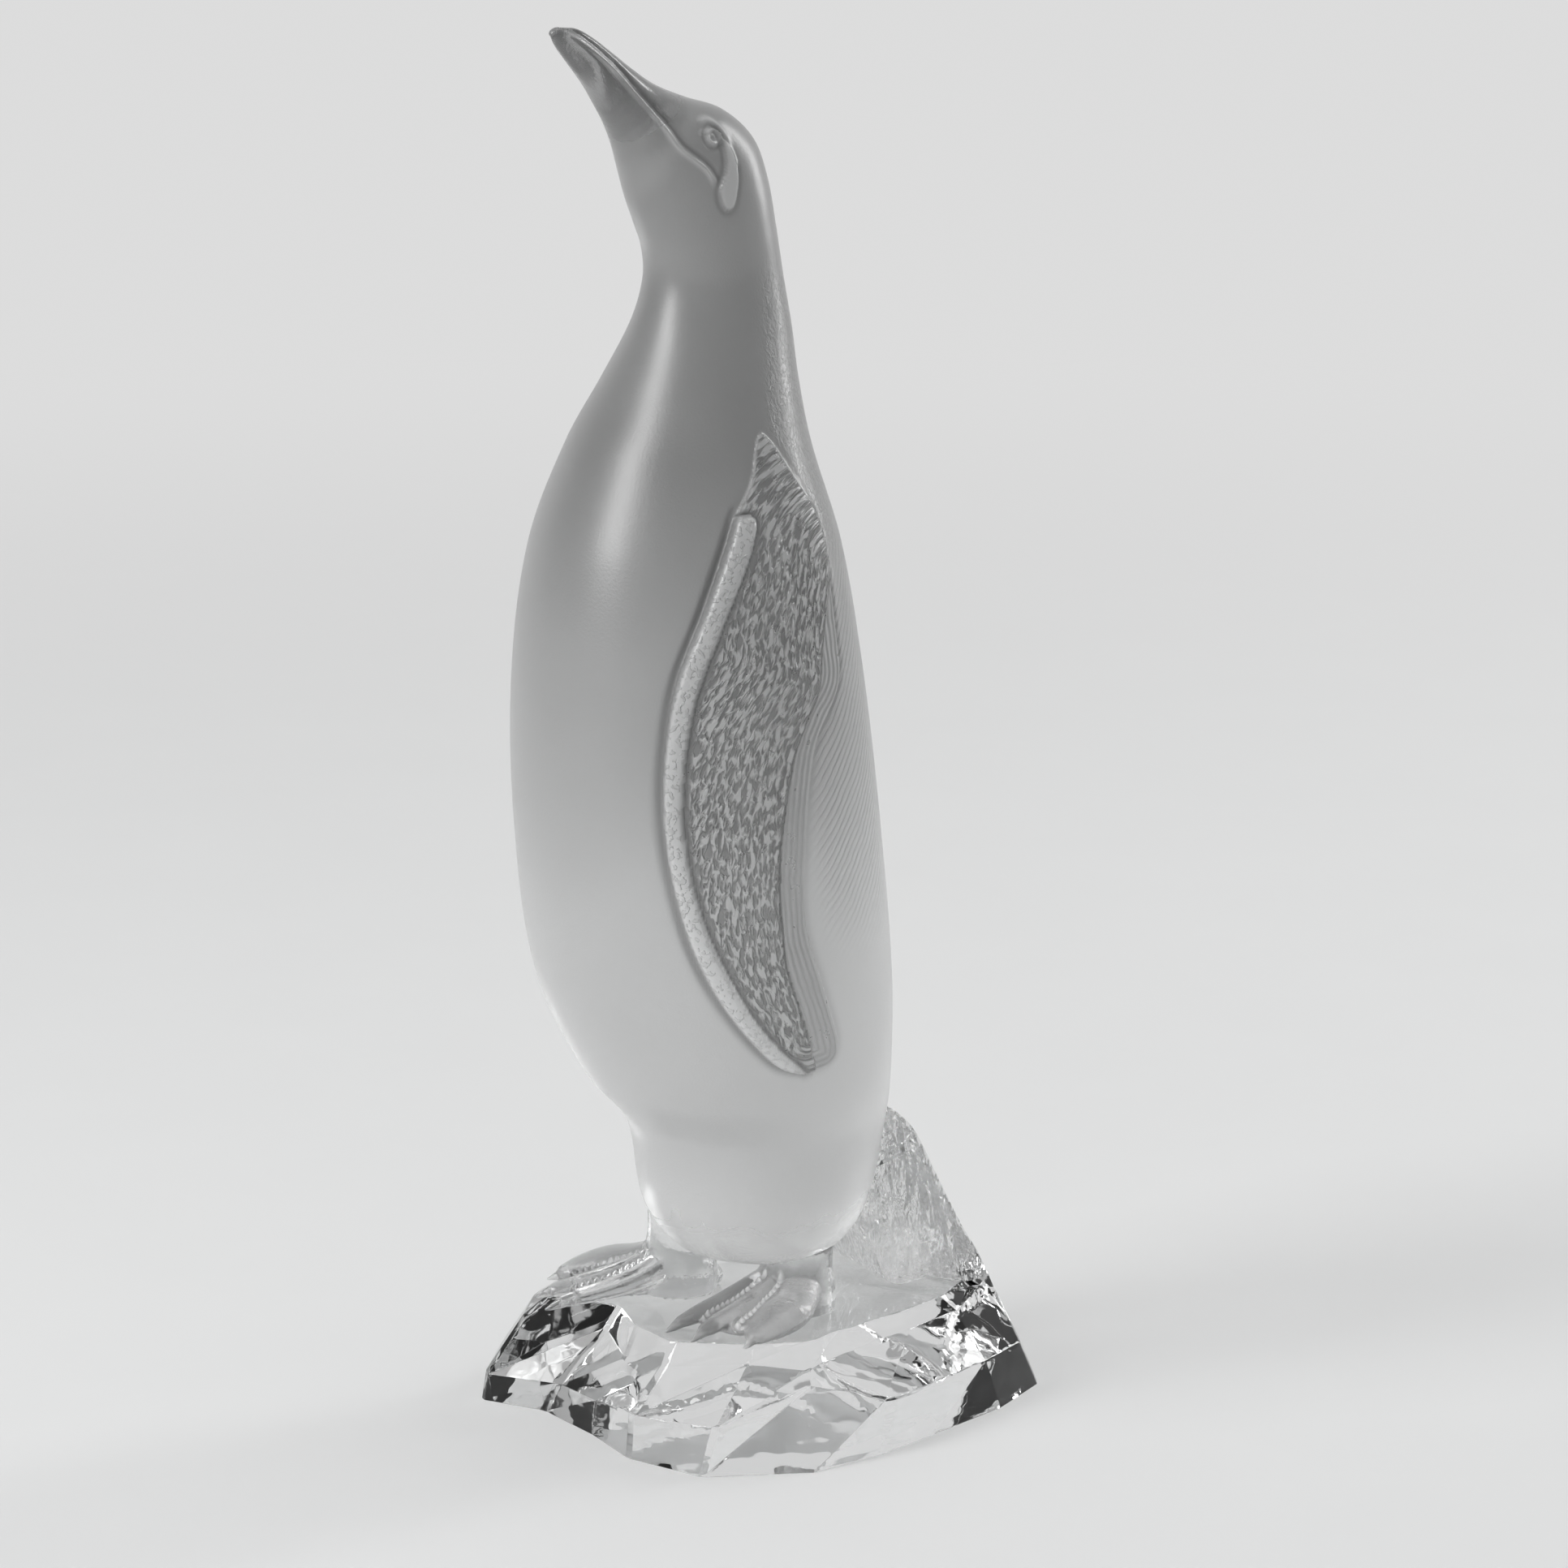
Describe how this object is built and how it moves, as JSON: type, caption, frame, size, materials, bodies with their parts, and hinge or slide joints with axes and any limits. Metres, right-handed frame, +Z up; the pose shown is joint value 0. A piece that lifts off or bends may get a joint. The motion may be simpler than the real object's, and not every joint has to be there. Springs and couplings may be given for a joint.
{
  "type": "penguin figurine",
  "caption": "Satin-frosted crystal penguin with folded flippers and raised bill, standing on a block of clear cut ice with a fan tail behind it.",
  "frame": {"origin": "on the surface the block of ice stands on, under the centre of the block's bounding rectangle", "axes": "+Z up to the tip of the bill, -Y the way the penguin faces, +X its left side"},
  "size_m": [0.0702, 0.081, 0.2202],
  "materials": {
    "satin_crystal": "acid-etched satin",
    "feathered_crystal": "satin with pressed feather texture",
    "clear_crystal": "polished clear"
  },
  "bodies": {
    "root": {"body": "satin_crystal", "head": "satin_crystal", "upper_bill": "satin_crystal", "lower_bill": "satin_crystal", "left_eye": "satin_crystal", "right_eye": "satin_crystal", "left_ear_patch": "satin_crystal", "right_ear_patch": "satin_crystal", "left_flipper": "feathered_crystal", "right_flipper": "feathered_crystal", "left_flipper_rim": "satin_crystal", "right_flipper_rim": "satin_crystal", "tail": "clear_crystal", "left_foot": "clear_crystal", "right_foot": "clear_crystal", "ice_base": "clear_crystal"}
  },
  "joints": []
}
